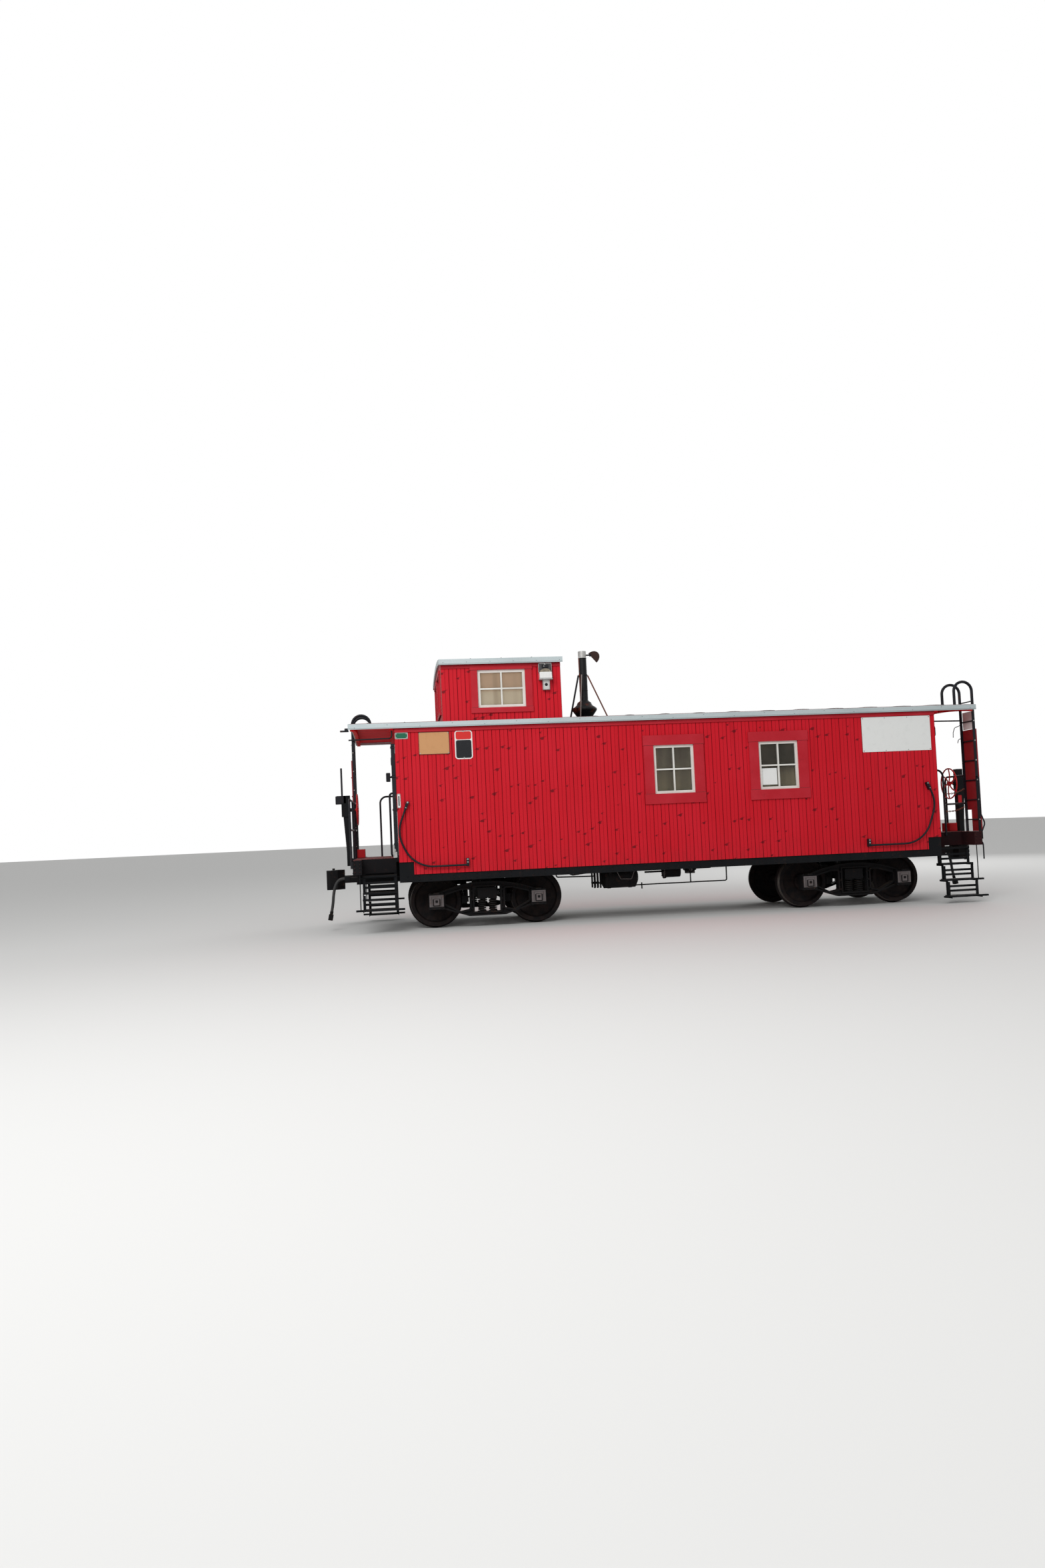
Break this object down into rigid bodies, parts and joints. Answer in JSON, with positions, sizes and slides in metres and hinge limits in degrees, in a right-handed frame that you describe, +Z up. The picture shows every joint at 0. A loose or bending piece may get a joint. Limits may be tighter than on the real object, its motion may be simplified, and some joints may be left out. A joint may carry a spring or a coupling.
{
  "type": "wood-sheathed railway caboose with cupola",
  "caption": "Red wooden railway caboose with a cupola, end platforms with steps and ladders, and four-wheel trucks.",
  "frame": {"origin": "middle of the car at the level of the lowest point of the wheel flanges", "axes": "+X along the car towards the end with the smoke jack's side of the cupola, +Z up"},
  "size_m": [11.6298, 3.12, 4.7369],
  "materials": {
    "red_siding": "bright red paint on vertical boards, weathered",
    "red_trim": "duller red paint on trim boards",
    "white_sash": "white painted wood",
    "window_glass": "clear window glass",
    "blind_cloth": "beige blinds behind the glass",
    "galvanised_edge": "dull galvanised drip edge",
    "roof_sheet": "dark painted roof sheets",
    "floor_boards": "worn boards",
    "black_steel": "black paint, worn and dusty",
    "oxide_steel": "dark red-brown paint",
    "red_iron": "red painted cast iron",
    "cast_black": "black painted rough castings with rust",
    "wheel_steel": "dark rolled steel with rust",
    "stove_pipe": "black stove pipe with bare top",
    "hose_rubber": "black rubber air hose",
    "lamp_plastic": "dark lamp housing with pale lens"
  },
  "bodies": {
    "car_body": {"side_sills": "black_steel", "centre_sill": "black_steel", "cross_members": "black_steel", "floor": "floor_boards", "side_wall_near": "red_siding", "side_wall_far": "red_siding", "end_wall_left": "red_siding", "end_wall_right": "red_siding", "roof_left": "roof_sheet", "roof_right": "roof_sheet", "roof_edges": "galvanised_edge", "cupola_side_walls": "red_siding", "cupola_end_walls": "red_siding", "cupola_roof": "roof_sheet", "cupola_edges": "galvanised_edge", "window_trim": "red_trim", "window_sashes": "white_sash", "window_glass": "window_glass", "window_blinds": "blind_cloth", "platform_left": "oxide_steel", "platform_right": "oxide_steel", "steps_left": "black_steel", "steps_right": "black_steel", "end_railing_left": "black_steel", "end_railing_right": "black_steel", "ladder_left": "black_steel", "ladder_right": "black_steel", "ladder_boards_left": "oxide_steel", "ladder_boards_right": "oxide_steel", "brake_stand_left": "black_steel", "brake_stand_right": "black_steel", "grab_irons": "black_steel", "smoke_jack": "stove_pipe", "air_brake_gear": "black_steel", "train_pipe": "black_steel", "hose_left": "hose_rubber", "hose_right": "hose_rubber", "hose_fitting_left": "cast_black", "hose_fitting_right": "cast_black", "cupola_lamp": "lamp_plastic"},
    "truck_left": {"truck_left_side_frames": "cast_black", "truck_left_bolster": "cast_black", "truck_left_springs": "cast_black", "truck_left_brakes": "cast_black"},
    "truck_right": {"truck_right_side_frames": "cast_black", "truck_right_bolster": "cast_black", "truck_right_springs": "cast_black", "truck_right_brakes": "cast_black"},
    "wheelset_1": {"wheelset_1": "wheel_steel"},
    "wheelset_2": {"wheelset_2": "wheel_steel"},
    "wheelset_3": {"wheelset_3": "wheel_steel"},
    "wheelset_4": {"wheelset_4": "wheel_steel"},
    "door_left": {"door_left": "red_trim", "door_glass_left": "window_glass"},
    "brake_wheel_left": {"brake_wheel_left": "red_iron"},
    "coupler_left": {"coupler_left": "cast_black"},
    "door_right": {"door_right": "red_trim", "door_glass_right": "window_glass"},
    "brake_wheel_right": {"brake_wheel_right": "red_iron"},
    "coupler_right": {"coupler_right": "cast_black"}
  },
  "joints": [
    {"name": "truck_left_swivel", "type": "hinge", "parent": "car_body", "child": "truck_left", "pos_m": [-3.16, 0, 0.72], "axis": [0, 0, 1], "range_deg": [-8, 8]},
    {"name": "truck_right_swivel", "type": "hinge", "parent": "car_body", "child": "truck_right", "pos_m": [3.16, 0, 0.72], "axis": [0, 0, 1], "range_deg": [-8, 8]},
    {"name": "wheelset_1_spin", "type": "hinge", "parent": "truck_left", "child": "wheelset_1", "pos_m": [-3.998, 0, 0.447], "axis": [0, 1, 0], "continuous": true},
    {"name": "wheelset_2_spin", "type": "hinge", "parent": "truck_left", "child": "wheelset_2", "pos_m": [-2.322, 0, 0.447], "axis": [0, 1, 0], "continuous": true},
    {"name": "wheelset_3_spin", "type": "hinge", "parent": "truck_right", "child": "wheelset_3", "pos_m": [2.322, 0, 0.447], "axis": [0, 1, 0], "continuous": true},
    {"name": "wheelset_4_spin", "type": "hinge", "parent": "truck_right", "child": "wheelset_4", "pos_m": [3.998, 0, 0.447], "axis": [0, 1, 0], "continuous": true},
    {"name": "door_left_swing", "type": "hinge", "parent": "car_body", "child": "door_left", "pos_m": [-4.4765, 0.346, 2], "axis": [0, 0, 1], "range_deg": [0, 95]},
    {"name": "brake_wheel_left_turn", "type": "hinge", "parent": "car_body", "child": "brake_wheel_left", "pos_m": [-5.277, 0.5, 2.045], "axis": [-1, 0, 0], "continuous": true},
    {"name": "coupler_left_swing", "type": "hinge", "parent": "car_body", "child": "coupler_left", "pos_m": [-4.85, 0, 0.847], "axis": [0, 0, 1], "range_deg": [-7, 7]},
    {"name": "door_right_swing", "type": "hinge", "parent": "car_body", "child": "door_right", "pos_m": [4.4765, -0.346, 2], "axis": [0, 0, 1], "range_deg": [0, 95]},
    {"name": "brake_wheel_right_turn", "type": "hinge", "parent": "car_body", "child": "brake_wheel_right", "pos_m": [5.277, -0.5, 2.045], "axis": [1, 0, 0], "continuous": true},
    {"name": "coupler_right_swing", "type": "hinge", "parent": "car_body", "child": "coupler_right", "pos_m": [4.85, 0, 0.847], "axis": [0, 0, 1], "range_deg": [-7, 7]}
  ]
}
